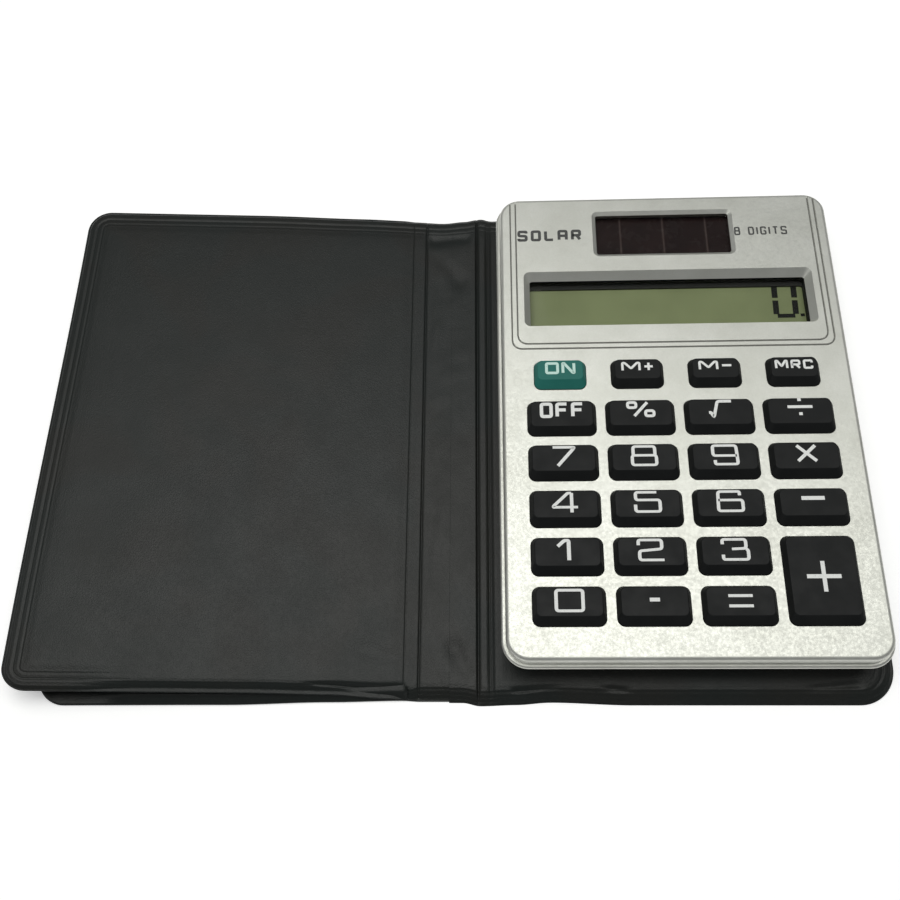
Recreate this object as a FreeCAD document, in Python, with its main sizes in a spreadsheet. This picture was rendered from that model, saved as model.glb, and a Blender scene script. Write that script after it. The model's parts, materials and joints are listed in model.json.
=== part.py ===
import FreeCAD, Part
import math
import os
import Sketcher

# Pocket calculator fixed in a folding vinyl wallet, lying open on a table.
# Millimetres. X runs to the calculator's right, Y away from the reader, Z up. The origin lies on
# the table, under the middle of the calculator's face.

DIMENSIONS = {
    # calculator case
    "case_width": 63.2,
    "case_length": 91.6,
    "case_corner": 3.9,
    "case_bottom": 1.8,
    "part_line": 8.4,
    "face_height": 10.8,
    "face_round": 0.75,
    "shell_wall": 1.3,
    "lip_overhang": 0.85,
    "base_taper": 1.4,
    "base_round": 0.9,
    "tongue_depth": 1.2,
    "tongue_wall": 0.8,
    "tongue_inset": 0.9,
    # keys
    "column_pitch": 14.0,
    "row_pitch": 8.6,
    "first_row_front": -5.73,
    "small_row_front": 3.55,
    "key_width": 12.2,
    "key_depth": 6.7,
    "small_key_width": 9.4,
    "small_key_depth": 5.7,
    "key_corner": 1.3,
    "key_clearance": 0.1,
    "key_top": 12.1,
    "crown_start": 11.0,
    "crown_front": 1.45,
    "crown_back": 0.4,
    "crown_side": 0.6,
    "crown_round": 0.2,
    "key_flange": 0.5,
    "flange_bottom": 8.6,
    "flange_top": 9.4,
    "key_wall": 1.1,
    "plunger_radius": 1.4,
    "plunger_bottom": 7.9,
    # display and solar openings
    "window_width": 52.1,
    "window_length": 9.9,
    "window_middle": 22.45,
    "bezel_side": 1.15,
    "bezel_back": 1.4,
    "bezel_front": 0.6,
    "solar_width": 25.8,
    "solar_length": 9.0,
    "solar_middle": 37.3,
    "solar_bevel": 0.7,
    "solar_sink": 0.5,
    "panel_width": 57.35,
    "panel_front": 12.93,
    "panel_corner": 2.0,
    "panel_line": 0.35,
    "panel_gap": 1.05,
    "panel_depth": 0.2,
    # display stack
    "lens_thick": 0.8,
    "lens_margin": 1.5,
    "holder_width": 58.0,
    "holder_length": 14.4,
    "holder_middle": 22.2,
    "holder_mask": 0.85,
    "mask_thick": 0.4,
    "display_top": 7.5,
    "film_thick": 0.2,
    "glass_thick": 0.66,
    "cell_width": 55.0,
    "cell_length": 12.8,
    "cell_ledge": 2.0,
    "cell_clearance": 0.1,
    # solar cell and window
    "solar_flange": 1.0,
    "solar_flange_thick": 0.5,
    "solar_cell_width": 35.0,
    "solar_cell_length": 13.0,
    "solar_cell_thick": 1.1,
    "solar_pad_x": 15.4,
    "solar_pad_width": 2.0,
    "solar_pad_length": 2.6,
    # main board
    "board_bottom": 4.6,
    "board_top": 5.6,
    "board_half_width": 29.4,
    "board_half_foot": 25.4,
    "board_front": -44.0,
    "board_notch": -40.1,
    "board_shoulder": 29.5,
    "board_tab_right": 16.4,
    "board_back": 42.8,
    "sheet_top": 6.2,
    "sheet_width": 58.0,
    "sheet_front": -40.1,
    "sheet_back": 10.4,
    "dome_base_radius": 2.6,
    "dome_top_radius": 1.9,
    "dome_wall": 0.6,
    # board components
    "chip_x": -8.0,
    "chip_y": -6.0,
    "chip_tip_radius": 3.1,
    "chip_base_radius": 4.4,
    "chip_thick": 0.95,
    "capacitor_x": 9.0,
    "capacitor_y": 18.0,
    "capacitor_width": 3.2,
    "capacitor_length": 1.6,
    "capacitor_thick": 1.1,
    "resistor_width": 1.6,
    "resistor_length": 0.8,
    "resistor_thick": 0.5,
    "resistor_x": 4.0,
    "resistor_1_y": -1.0,
    "resistor_2_y": -4.0,
    "resistor_3_x": -16.0,
    "resistor_3_y": 8.0,
    # fastening
    "board_post_radius": 1.25,
    "board_post_x": 24.0,
    "board_post_back": 12.3,
    "board_foot_post_x": 14.0,
    "board_foot_post_y": -42.45,
    "case_post_radius": 1.7,
    "case_post_x": 27.5,
    "case_post_y": 42.2,
    "case_post_bottom": 6.0,
    "pilot_radius": 0.63,
    "pilot_depth": 3.0,
    "shank_radius": 0.6,
    "shank_hole_radius": 0.8,
    "board_head_radius": 1.2,
    "board_head_thick": 0.7,
    "case_head_radius": 1.3,
    "case_head_thick": 0.9,
    "case_boss_radius": 2.1,
    "counterbore_radius": 1.45,
    "counterbore_top": 3.6,
    # button cell and its contacts
    "button_x": 22.5,
    "button_y": 35.8,
    "button_radius": 5.8,
    "button_thick": 3.05,
    "button_step": 1.0,
    "contact_thick": 0.2,
    "contact_width": 3.0,
    "contact_positive_y": 32.6,
    "contact_negative_y": 40.3,
    "contact_board_x": 12.6,
    "contact_knee_x": 15.8,
    "contact_tip_x": 25.5,
    "peg_radius": 0.55,
    "peg_height": 1.2,
    # wallet
    "vinyl": 0.35,
    "card": 0.8,
    "wallet_middle": -1.35,
    "wallet_length": 98.9,
    "back_fold_x": -34.8,
    "spine_width": 13.1,
    "fold_gap": 0.4,
    "back_reach": 68.8,
    "front_reach": 70.3,
    "back_corner": 8.5,
    "front_corner": 4.5,
    "weld_margin": 2.7,
    "card_margin": 3.1,
    "card_clearance": 0.05,
    "cover_lift": 4.0,
    "tape_width": 46.0,
    "tape_length": 12.0,
    "tape_offset": 26.0,
}

LEVEL_TOLERANCE = 1e-3
KEY_COLUMNS = 4
KEY_ROWS = 5
PEG_ANGLES = (25, 180, 270)
SMALL_KEYS = ["key_on", "key_memory_plus", "key_memory_minus", "key_memory_recall"]
KEY_GRID = [
    ["key_off", "key_percent", "key_root", "key_divide"],
    ["key_7", "key_8", "key_9", "key_multiply"],
    ["key_4", "key_5", "key_6", "key_minus"],
    ["key_1", "key_2", "key_3", None],
    ["key_0", "key_point", "key_equals", None],
]

doc = FreeCAD.newDocument("pocket_calculator")
dims = doc.addObject("Spreadsheet::Sheet", "dims")
for line_number, (alias, number) in enumerate(DIMENSIONS.items(), start=1):
    dims.set("A%d" % line_number, alias)
    dims.set("B%d" % line_number, str(number))
    dims.setAlias("B%d" % line_number, alias)
doc.recompute()

# Heights that several pieces share, as expressions of the sheet.
FACE = "dims.face_height"
UNDER_FACE = "(dims.face_height - dims.shell_wall)"
FLOOR = "(dims.case_bottom + dims.shell_wall)"
LENS_BOTTOM = "(%s - dims.lens_thick)" % UNDER_FACE
FRONT_GLASS = "(dims.display_top - dims.film_thick - dims.glass_thick)"
REAR_GLASS = "(%s - dims.glass_thick)" % FRONT_GLASS
SOLAR_CELL_BOTTOM = "(%s - dims.solar_flange_thick - dims.solar_cell_thick)" % UNDER_FACE
TALL_KEY_DEPTH = "(dims.row_pitch + dims.key_depth)"
CASE_POSTS = [
    ("dims.case_post_x * %d" % side, "dims.case_post_y * %d" % end)
    for side in (-1, 1)
    for end in (-1, 1)
]
BOARD_POSTS = [
    ("dims.board_post_x * %d" % side, "dims.board_post_back") for side in (-1, 1)
] + [
    ("dims.board_foot_post_x * %d" % side, "dims.board_foot_post_y") for side in (-1, 1)
]
RESISTORS = [
    ("dims.resistor_x", "dims.resistor_1_y"),
    ("dims.resistor_x", "dims.resistor_2_y"),
    ("dims.resistor_3_x", "dims.resistor_3_y"),
]


def amount(expression):
    """The number that an expression of the sheet comes to."""
    value = dims.evalExpression(expression)
    return float(getattr(value, "Value", value))


def bind(item, **properties):
    """Bind properties of a document object to expressions of the sheet."""
    for path, expression in properties.items():
        item.setExpression(path.replace("__", "."), expression)
    return item


# ---------------------------------------------------------------- sketches and features


def new_body(label, x="0", y="0", z="0"):
    body = doc.addObject("PartDesign::Body", label)
    body.Label = label
    bind(body, Placement__Base__x=x, Placement__Base__y=y, Placement__Base__z=z)
    return body


def new_sketch(body, height="0", plane="XY_Plane"):
    """A sketch parallel to one of the body's own origin planes, height above it."""
    sketch = body.newObject("Sketcher::SketchObject", body.Name + "_sketch")
    support = next(f for f in body.Origin.OriginFeatures if f.Role == plane)
    sketch.AttachmentSupport = (support, [""])
    sketch.MapMode = "FlatFace"
    sketch.setExpression("AttachmentOffset.Base.z", height)
    return sketch


def drive(sketch, kind, references, expression):
    """Add a driving constraint whose value follows an expression."""
    index = sketch.addConstraint(Sketcher.Constraint(kind, *references, amount(expression)))
    name = "size%d" % index
    sketch.renameConstraint(index, name)
    sketch.setExpression("Constraints." + name, expression)


def rounded_rect(sketch, width, length, radius, cx="0", cy="0", square=()):
    """A closed rectangle with tangent corner arcs. Corners are numbered counter-clockwise from
    the front left one, and those in square stay sharp."""
    half_w = amount(width) / 2
    half_l = amount(length) / 2
    r = amount(radius)
    x = amount(cx)
    y = amount(cy)
    corners = [(x - half_w, y - half_l), (x + half_w, y - half_l),
               (x + half_w, y + half_l), (x - half_w, y + half_l)]
    along = [(1, 0), (0, 1), (-1, 0), (0, -1)]
    sides = []
    for i in range(4):
        start_trim = 0 if i in square else r
        end_trim = 0 if (i + 1) % 4 in square else r
        dx, dy = along[i]
        ax, ay = corners[i]
        bx, by = corners[(i + 1) % 4]
        start = FreeCAD.Vector(ax + dx * start_trim, ay + dy * start_trim, 0)
        end = FreeCAD.Vector(bx - dx * end_trim, by - dy * end_trim, 0)
        sides.append(sketch.addGeometry(Part.LineSegment(start, end), False))
    arcs = []
    for i in range(4):
        before = sides[i - 1]
        after = sides[i]
        if i in square:
            sketch.addConstraint(Sketcher.Constraint("Coincident", before, 2, after, 1))
            continue
        inward = [(1, 1), (-1, 1), (-1, -1), (1, -1)][i]
        centre = FreeCAD.Vector(corners[i][0] + inward[0] * r, corners[i][1] + inward[1] * r, 0)
        first_angle = math.pi + i * math.pi / 2
        circle = Part.Circle(centre, FreeCAD.Vector(0, 0, 1), r)
        arc = sketch.addGeometry(
            Part.ArcOfCircle(circle, first_angle, first_angle + math.pi / 2), False)
        sketch.addConstraint(Sketcher.Constraint("Tangent", before, 2, arc, 1))
        sketch.addConstraint(Sketcher.Constraint("Tangent", arc, 2, after, 1))
        if arcs:
            sketch.addConstraint(Sketcher.Constraint("Equal", arcs[0], arc))
        arcs.append(arc)
    front, right, back, left = sides
    sketch.addConstraint(Sketcher.Constraint("Horizontal", front))
    sketch.addConstraint(Sketcher.Constraint("Horizontal", back))
    sketch.addConstraint(Sketcher.Constraint("Vertical", left))
    sketch.addConstraint(Sketcher.Constraint("Vertical", right))
    drive(sketch, "Radius", (arcs[0],), radius)
    drive(sketch, "DistanceX", (left, 1, right, 1), width)
    drive(sketch, "DistanceY", (front, 1, back, 1), length)
    drive(sketch, "DistanceX", (-1, 1, left, 1), "%s - (%s) / 2" % (cx, width))
    drive(sketch, "DistanceY", (-1, 1, front, 1), "%s - (%s) / 2" % (cy, length))
    return sketch


def polygon(sketch, points):
    """A closed outline of straight sides through points given as pairs of expressions."""
    spots = [FreeCAD.Vector(amount(px), amount(py), 0) for px, py in points]
    count = len(spots)
    lines = [
        sketch.addGeometry(Part.LineSegment(spots[i], spots[(i + 1) % count]), False)
        for i in range(count)
    ]
    for i in range(count):
        sketch.addConstraint(
            Sketcher.Constraint("Coincident", lines[i], 2, lines[(i + 1) % count], 1))
    for line, (px, py) in zip(lines, points):
        drive(sketch, "DistanceX", (-1, 1, line, 1), px)
        drive(sketch, "DistanceY", (-1, 1, line, 1), py)
    return sketch


def circles(sketch, radius, centres):
    for cx, cy in centres:
        middle = FreeCAD.Vector(amount(cx), amount(cy), 0)
        ring = sketch.addGeometry(
            Part.Circle(middle, FreeCAD.Vector(0, 0, 1), amount(radius)), False)
        drive(sketch, "Radius", (ring,), radius)
        drive(sketch, "DistanceX", (-1, 1, ring, 3), cx)
        drive(sketch, "DistanceY", (-1, 1, ring, 3), cy)
    return sketch


def add_feature(body, kind, sketch, length, both_ways=False):
    feature = body.newObject("PartDesign::" + kind, body.Name + "_" + kind.lower())
    feature.Profile = sketch
    if both_ways:
        feature.SideType = "Symmetric"
    feature.setExpression("Length", length)
    return feature


def pad(body, sketch, length, both_ways=False):
    """Raise the sketch upwards by length."""
    return add_feature(body, "Pad", sketch, length, both_ways)


def pocket(body, sketch, length):
    """Cut the sketch downwards by length, and make sure that it removed something."""
    doc.recompute()
    before = body.Shape.Volume
    feature = add_feature(body, "Pocket", sketch, length)
    doc.recompute()
    if body.Shape.Volume > before - 1e-4:
        raise RuntimeError("%s cuts nothing" % feature.Name)
    return feature


def loft(body, kind, lower, upper):
    """A straight loft between two sketches, added to the body or cut from it."""
    feature = body.newObject("PartDesign::" + kind, body.Name + "_loft")
    feature.Profile = lower
    feature.Sections = [upper]
    feature.Ruled = True
    doc.recompute()
    return feature


def round_edges(body, base, radius, height):
    """Fillet the edges of a feature that lie level at a height."""
    doc.recompute()
    level = amount(height)
    names = []
    for index, edge in enumerate(base.Shape.Edges, start=1):
        extent = edge.BoundBox
        if abs(extent.ZMin - level) < LEVEL_TOLERANCE and abs(extent.ZMax - level) < LEVEL_TOLERANCE:
            names.append("Edge%d" % index)
    fillet = body.newObject("PartDesign::Fillet", body.Name + "_fillet")
    fillet.Base = (base, names)
    fillet.setExpression("Radius", radius)
    doc.recompute()
    return fillet


def box(name, width, length, height, cx, cy, bottom):
    """A Part::Box centred on cx, cy."""
    block = doc.addObject("Part::Box", name)
    bind(block, Length=width, Width=length, Height=height)
    bind(
        block,
        Placement__Base__x="%s - (%s) / 2" % (cx, width),
        Placement__Base__y="%s - (%s) / 2" % (cy, length),
        Placement__Base__z=bottom,
    )
    return block


def cylinder(name, radius, height, cx, cy, bottom):
    rod = doc.addObject("Part::Cylinder", name)
    bind(rod, Radius=radius, Height=height)
    bind(rod, Placement__Base__x=cx, Placement__Base__y=cy, Placement__Base__z=bottom)
    return rod


def cone(name, lower, upper, height, cx, cy, bottom):
    frustum = doc.addObject("Part::Cone", name)
    bind(frustum, Radius1=lower, Radius2=upper, Height=height)
    bind(frustum, Placement__Base__x=cx, Placement__Base__y=cy, Placement__Base__z=bottom)
    return frustum


def fuse(label, shapes):
    joined = doc.addObject("Part::MultiFuse", label)
    joined.Label = label
    joined.Shapes = shapes
    return joined


def cut(label, base, tool):
    carved = doc.addObject("Part::Cut", label)
    carved.Label = label
    carved.Base = base
    carved.Tool = tool
    return carved


def group(label, shapes):
    """Separate solids that share one node."""
    bundle = doc.addObject("Part::Compound", label)
    bundle.Label = label
    bundle.Links = shapes
    return bundle


# ---------------------------------------------------------------- where the keys stand


def column_x(column):
    return "dims.column_pitch * (%s)" % (column - (KEY_COLUMNS - 1) / 2)


def key_layout():
    """[(name, centre x, centre y, width, depth)] of every key, as expressions."""
    layout = []
    small_y = "(dims.small_row_front + dims.small_key_depth / 2)"
    for column, name in enumerate(SMALL_KEYS):
        layout.append(
            (name, column_x(column), small_y, "dims.small_key_width", "dims.small_key_depth"))
    for row, names in enumerate(KEY_GRID):
        y = "(dims.first_row_front - dims.row_pitch * %d + dims.key_depth / 2)" % row
        for column, name in enumerate(names):
            if name:
                layout.append((name, column_x(column), y, "dims.key_width", "dims.key_depth"))
    tall_y = "(dims.first_row_front - dims.row_pitch * %d + %s / 2)" % (
        KEY_ROWS - 1, TALL_KEY_DEPTH)
    layout.append(
        ("key_plus", column_x(KEY_COLUMNS - 1), tall_y, "dims.key_width", TALL_KEY_DEPTH))
    return layout


# ---------------------------------------------------------------- calculator shells


def make_top_case():
    body = new_body("top_case")
    outline = new_sketch(body, "dims.part_line")
    rounded_rect(outline, "dims.case_width", "dims.case_length", "dims.case_corner")
    block = pad(body, outline, FACE + " - dims.part_line")
    round_edges(body, block, "dims.face_round", FACE)
    hollow = new_sketch(body, UNDER_FACE)
    rounded_rect(hollow, "dims.case_width - 2 * dims.shell_wall",
                 "dims.case_length - 2 * dims.shell_wall", "dims.case_corner - dims.shell_wall")
    pocket(body, hollow, UNDER_FACE + " - dims.part_line")

    # The tongue is a ring that reaches down inside the bottom case and lines the shells up.
    tongue = new_sketch(body, "dims.part_line - dims.tongue_depth")
    for inset in ("dims.tongue_inset", "(dims.tongue_inset + dims.tongue_wall)"):
        rounded_rect(tongue, "dims.case_width - 2 * " + inset, "dims.case_length - 2 * " + inset,
                     "dims.case_corner - " + inset)
    pad(body, tongue, UNDER_FACE + " - dims.part_line + dims.tongue_depth")

    for radius, centres, bottom in (
        ("dims.case_post_radius", CASE_POSTS, "dims.case_post_bottom"),
        ("dims.board_post_radius", BOARD_POSTS, "dims.board_top"),
    ):
        pad(body, circles(new_sketch(body, bottom), radius, centres), UNDER_FACE + " - " + bottom)
        pilot = new_sketch(body, bottom + " + dims.pilot_depth")
        pocket(body, circles(pilot, "dims.pilot_radius", centres), "dims.pilot_depth")

    for _name, x, y, width, depth in key_layout():
        opening = new_sketch(body, FACE)
        rounded_rect(opening, width + " + 2 * dims.key_clearance",
                     depth + " + 2 * dims.key_clearance",
                     "dims.key_corner + dims.key_clearance", x, y)
        pocket(body, opening, "dims.shell_wall")

    # The display recess slopes in from the face to the window.
    inner = new_sketch(body, UNDER_FACE)
    rounded_rect(inner, "dims.window_width", "dims.window_length", "dims.solar_sink",
                 "0", "dims.window_middle")
    outer = new_sketch(body, FACE)
    rounded_rect(outer, "dims.window_width + 2 * dims.bezel_side",
                 "dims.window_length + dims.bezel_back + dims.bezel_front", "dims.bezel_side",
                 "0", "dims.window_middle + (dims.bezel_back - dims.bezel_front) / 2")
    loft(body, "SubtractiveLoft", inner, outer)

    # The solar opening is straight, with a shallow bevel round its mouth.
    inner = new_sketch(body, FACE + " - dims.solar_sink")
    rounded_rect(inner, "dims.solar_width", "dims.solar_length", "dims.solar_sink",
                 "0", "dims.solar_middle")
    outer = new_sketch(body, FACE)
    rounded_rect(outer, "dims.solar_width + 2 * dims.solar_bevel",
                 "dims.solar_length + 2 * dims.solar_bevel", "dims.solar_bevel + dims.solar_sink",
                 "0", "dims.solar_middle")
    loft(body, "SubtractiveLoft", inner, outer)
    well = new_sketch(body, FACE + " - dims.solar_sink")
    rounded_rect(well, "dims.solar_width", "dims.solar_length", "dims.solar_sink",
                 "0", "dims.solar_middle")
    pocket(body, well, "dims.shell_wall - dims.solar_sink")

    # Two fine grooves frame the display panel on three sides, and run out at the back edge.
    for shift in ("0", "dims.panel_gap"):
        groove = new_sketch(body, FACE)
        for inset in ("0", "dims.panel_line"):
            front = "(dims.panel_front + %s - %s)" % (inset, shift)
            back = "(dims.case_length / 2 + 2 * dims.case_corner - %s)" % inset
            rounded_rect(groove, "dims.panel_width + 2 * %s - 2 * %s" % (shift, inset),
                         "%s - %s" % (back, front), "dims.panel_corner - " + inset,
                         "0", "(%s + %s) / 2" % (back, front))
        pocket(body, groove, "dims.panel_depth")
    return body


def make_bottom_case():
    body = new_body("bottom_case")
    wide = "(dims.case_width + 2 * dims.lip_overhang)"
    long = "(dims.case_length + 2 * dims.lip_overhang)"
    corner = "(dims.case_corner + dims.lip_overhang)"
    slope = "atan(dims.base_taper / (dims.part_line - dims.case_bottom))"
    base = new_sketch(body, "dims.case_bottom")
    rounded_rect(base, wide + " - 2 * dims.base_taper", long + " - 2 * dims.base_taper",
                 corner + " - dims.base_taper")
    shell = pad(body, base, "dims.part_line - dims.case_bottom")
    shell.setExpression("TaperAngle", slope)
    rounded_base = round_edges(body, shell, "dims.base_round", "dims.case_bottom")
    round_edges(body, rounded_base, "dims.base_round / 2", "dims.part_line")

    # The hollow follows the outside, one wall thickness in.
    mouth = new_sketch(body, "dims.part_line")
    rounded_rect(mouth, wide + " - 2 * dims.shell_wall", long + " - 2 * dims.shell_wall",
                 corner + " - dims.shell_wall")
    hollow = pocket(body, mouth, "dims.part_line - " + FLOOR)
    hollow.setExpression("TaperAngle", "-" + slope)

    # Screw bosses, with the screw heads sunk in counterbores from below.
    bosses = new_sketch(body, "dims.case_bottom + dims.shell_wall / 2")
    pad(body, circles(bosses, "dims.case_boss_radius", CASE_POSTS),
        "dims.case_post_bottom - dims.case_bottom - dims.shell_wall / 2 - dims.cell_clearance")
    through = new_sketch(body, "dims.case_post_bottom")
    pocket(body, circles(through, "dims.shank_hole_radius", CASE_POSTS),
           "dims.case_post_bottom - dims.case_bottom")
    sunk = new_sketch(body, "dims.counterbore_top")
    pocket(body, circles(sunk, "dims.counterbore_radius", CASE_POSTS),
           "dims.counterbore_top - dims.case_bottom")

    # Three pegs hold the button cell in its place.
    reach = "(dims.button_radius + dims.peg_radius + dims.card_clearance)"
    pegs = [
        ("dims.button_x + %s * cos(%d deg)" % (reach, angle),
         "dims.button_y + %s * sin(%d deg)" % (reach, angle))
        for angle in PEG_ANGLES
    ]
    pad(body, circles(new_sketch(body, FLOOR + " - dims.peg_radius"), "dims.peg_radius", pegs),
        "dims.peg_height + dims.peg_radius")
    return body


# ---------------------------------------------------------------- keys and dome sheet


def make_key(name, x, y, width, depth):
    """A hollow key cap with a retaining flange, a crown that slopes to the front, and a plunger
    that stands on the rubber dome."""
    body = new_body(name, x, y)
    flange = new_sketch(body, "dims.flange_bottom")
    rounded_rect(flange, width + " + 2 * dims.key_flange", depth + " + 2 * dims.key_flange",
                 "dims.key_corner + dims.key_flange")
    pad(body, flange, "dims.flange_top - dims.flange_bottom")
    neck = new_sketch(body, "dims.flange_bottom")
    rounded_rect(neck, width, depth, "dims.key_corner")
    pad(body, neck, "dims.crown_start - dims.flange_bottom")
    foot = new_sketch(body, "dims.crown_start")
    rounded_rect(foot, width, depth, "dims.key_corner")
    top = new_sketch(body, "dims.key_top")
    rounded_rect(top, width + " - 2 * dims.crown_side",
                 depth + " - dims.crown_front - dims.crown_back",
                 "dims.key_corner - dims.crown_back", "0",
                 "(dims.crown_front - dims.crown_back) / 2")
    crown = loft(body, "AdditiveLoft", foot, top)
    round_edges(body, crown, "dims.crown_round", "dims.key_top")
    cavity = new_sketch(body, "dims.crown_start")
    rounded_rect(cavity, width + " - 2 * dims.key_wall", depth + " - 2 * dims.key_wall",
                 "dims.key_corner / 2")
    pocket(body, cavity, "dims.crown_start - dims.flange_bottom")
    plunger = new_sketch(body, "dims.plunger_bottom")
    circles(plunger, "dims.plunger_radius", [("0", "0")])
    pad(body, plunger, "dims.crown_start - dims.plunger_bottom + dims.crown_round")
    return body


def make_dome_sheet(layout):
    """One rubber sheet with a hollow dome under every key."""
    rise = "(dims.plunger_bottom - dims.sheet_top)"
    length = "(dims.sheet_back - dims.sheet_front)"
    sheet = box("rubber_sheet", "dims.sheet_width", length, "dims.sheet_top - dims.board_top",
                "0", "(dims.sheet_back + dims.sheet_front) / 2", "dims.board_top")
    domes = []
    hollows = []
    for name, x, y, _width, _depth in layout:
        domes.append(cone("dome_" + name, "dims.dome_base_radius", "dims.dome_top_radius",
                          rise, x, y, "dims.sheet_top"))
        hollows.append(cone("hollow_" + name, "dims.dome_base_radius - dims.dome_wall / 2",
                            "dims.dome_top_radius - dims.dome_wall",
                            "dims.plunger_bottom - dims.board_top - dims.dome_wall",
                            x, y, "dims.board_top"))
    return cut("dome_sheet", fuse("domed_blank", [sheet] + domes), fuse("dome_hollows", hollows))


# ---------------------------------------------------------------- display and solar cell


def make_display_lens():
    margin = "2 * dims.lens_margin"
    return box("display_lens", "dims.window_width + " + margin, "dims.window_length + " + margin,
               "dims.lens_thick", "0", "dims.window_middle", LENS_BOTTOM)


def make_display_holder():
    """A black frame with a mask that hides the display's edge, open underneath for the cell."""
    body = new_body("display_holder")
    outline = new_sketch(body, "dims.board_top")
    rounded_rect(outline, "dims.holder_width", "dims.holder_length", "dims.film_thick * 2",
                 "0", "dims.holder_middle")
    pad(body, outline, LENS_BOTTOM + " - dims.board_top")
    window = new_sketch(body, LENS_BOTTOM)
    rounded_rect(window, "dims.window_width", "dims.window_length", "dims.solar_sink",
                 "0", "dims.window_middle")
    pocket(body, window, LENS_BOTTOM + " - dims.display_top - dims.mask_thick")
    masked = new_sketch(body, "dims.display_top + dims.mask_thick")
    rounded_rect(masked, "dims.window_width", "dims.window_length - dims.holder_mask",
                 "dims.solar_sink", "0", "dims.window_middle - dims.holder_mask / 2")
    pocket(body, masked, "dims.mask_thick")
    room = new_sketch(body, "dims.display_top")
    rounded_rect(room, "dims.cell_width + 2 * dims.cell_clearance",
                 "dims.cell_length + 2 * dims.cell_clearance", "dims.cell_clearance",
                 "0", "dims.holder_middle")
    pocket(body, room, "dims.display_top - dims.board_top")
    return body


def make_display_cell():
    """The liquid-crystal cell: polariser, front glass with a contact ledge, rear glass and
    reflector, with a conductive rubber strip from the ledge to the board."""
    back_edge = "(dims.holder_middle + dims.cell_length / 2)"
    short = "(dims.cell_length - dims.cell_ledge)"
    film = "(%s - 2 * dims.film_thick)" % short
    middle = "(%s - %s / 2)" % (back_edge, short)
    ledge = "(%s - %s - dims.cell_ledge / 2)" % (back_edge, short)
    film_width = "dims.cell_width - 2 * dims.film_thick"
    film_top = "(dims.display_top - dims.film_thick)"
    return [
        box("display_polariser", film_width, film, "dims.film_thick", "0", middle, film_top),
        box("display_front_glass", "dims.cell_width", "dims.cell_length", "dims.glass_thick",
            "0", "dims.holder_middle", FRONT_GLASS),
        box("display_rear_glass", "dims.cell_width", short, "dims.glass_thick",
            "0", middle, REAR_GLASS),
        box("display_reflector", film_width, film, "dims.film_thick",
            "0", middle, REAR_GLASS + " - dims.film_thick"),
        box("display_connector", film_width, "dims.cell_ledge - 3 * dims.film_thick",
            FRONT_GLASS + " - dims.board_top", "0", ledge, "dims.board_top"),
    ]


def make_solar_window():
    """A clear block that fills the solar opening, with a flange glued under the face."""
    body = new_body("solar_window")
    flange = new_sketch(body, UNDER_FACE + " - dims.solar_flange_thick")
    rounded_rect(flange, "dims.solar_width + 2 * dims.solar_flange",
                 "dims.solar_length + 2 * dims.solar_flange", "dims.solar_sink",
                 "0", "dims.solar_middle")
    pad(body, flange, "dims.solar_flange_thick")
    block = new_sketch(body, UNDER_FACE)
    rounded_rect(block, "dims.solar_width - dims.cell_clearance",
                 "dims.solar_length - dims.cell_clearance", "dims.solar_sink",
                 "0", "dims.solar_middle")
    pad(body, block, "dims.shell_wall - dims.solar_sink")
    return body


def make_solar_cell():
    cell = box("solar_cell", "dims.solar_cell_width", "dims.solar_cell_length",
               "dims.solar_cell_thick", "0", "dims.solar_middle", SOLAR_CELL_BOTTOM)
    blocks = [
        box("solar_contact_%d" % number, "dims.solar_pad_width", "dims.solar_pad_length",
            SOLAR_CELL_BOTTOM + " - dims.board_top", "dims.solar_pad_x * %d" % side,
            "dims.solar_middle", "dims.board_top")
        for number, side in enumerate((-1, 1), start=1)
    ]
    return [cell, group("solar_contacts", blocks)]


# ---------------------------------------------------------------- board and power


def make_main_board():
    """The board steps in round the front screw posts and the button cell."""
    body = new_body("main_board")
    half = "dims.board_half_width"
    foot = "dims.board_half_foot"
    outline = new_sketch(body, "dims.board_bottom")
    polygon(outline, [
        ("-" + half, "dims.board_notch"),
        ("-" + foot, "dims.board_notch"),
        ("-" + foot, "dims.board_front"),
        (foot, "dims.board_front"),
        (foot, "dims.board_notch"),
        (half, "dims.board_notch"),
        (half, "dims.board_shoulder"),
        ("dims.board_tab_right", "dims.board_shoulder"),
        ("dims.board_tab_right", "dims.board_back"),
        ("-" + foot, "dims.board_back"),
        ("-" + foot, "dims.board_shoulder"),
        ("-" + half, "dims.board_shoulder"),
    ])
    pad(body, outline, "dims.board_top - dims.board_bottom")
    holes = new_sketch(body, "dims.board_top")
    pocket(body, circles(holes, "dims.shank_hole_radius", BOARD_POSTS),
           "dims.board_top - dims.board_bottom")
    return body


def make_board_components():
    """The chip under its drop of epoxy, a capacitor and the resistors, under the board."""
    chip = cone("chip", "dims.chip_tip_radius", "dims.chip_base_radius", "dims.chip_thick",
                "dims.chip_x", "dims.chip_y", "dims.board_bottom - dims.chip_thick")
    capacitor = box("capacitor", "dims.capacitor_width", "dims.capacitor_length",
                    "dims.capacitor_thick", "dims.capacitor_x", "dims.capacitor_y",
                    "dims.board_bottom - dims.capacitor_thick")
    resistors = [
        box("resistor_%d" % number, "dims.resistor_width", "dims.resistor_length",
            "dims.resistor_thick", x, y, "dims.board_bottom - dims.resistor_thick")
        for number, (x, y) in enumerate(RESISTORS, start=1)
    ]
    return [chip, capacitor, group("resistors", resistors)]


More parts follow.
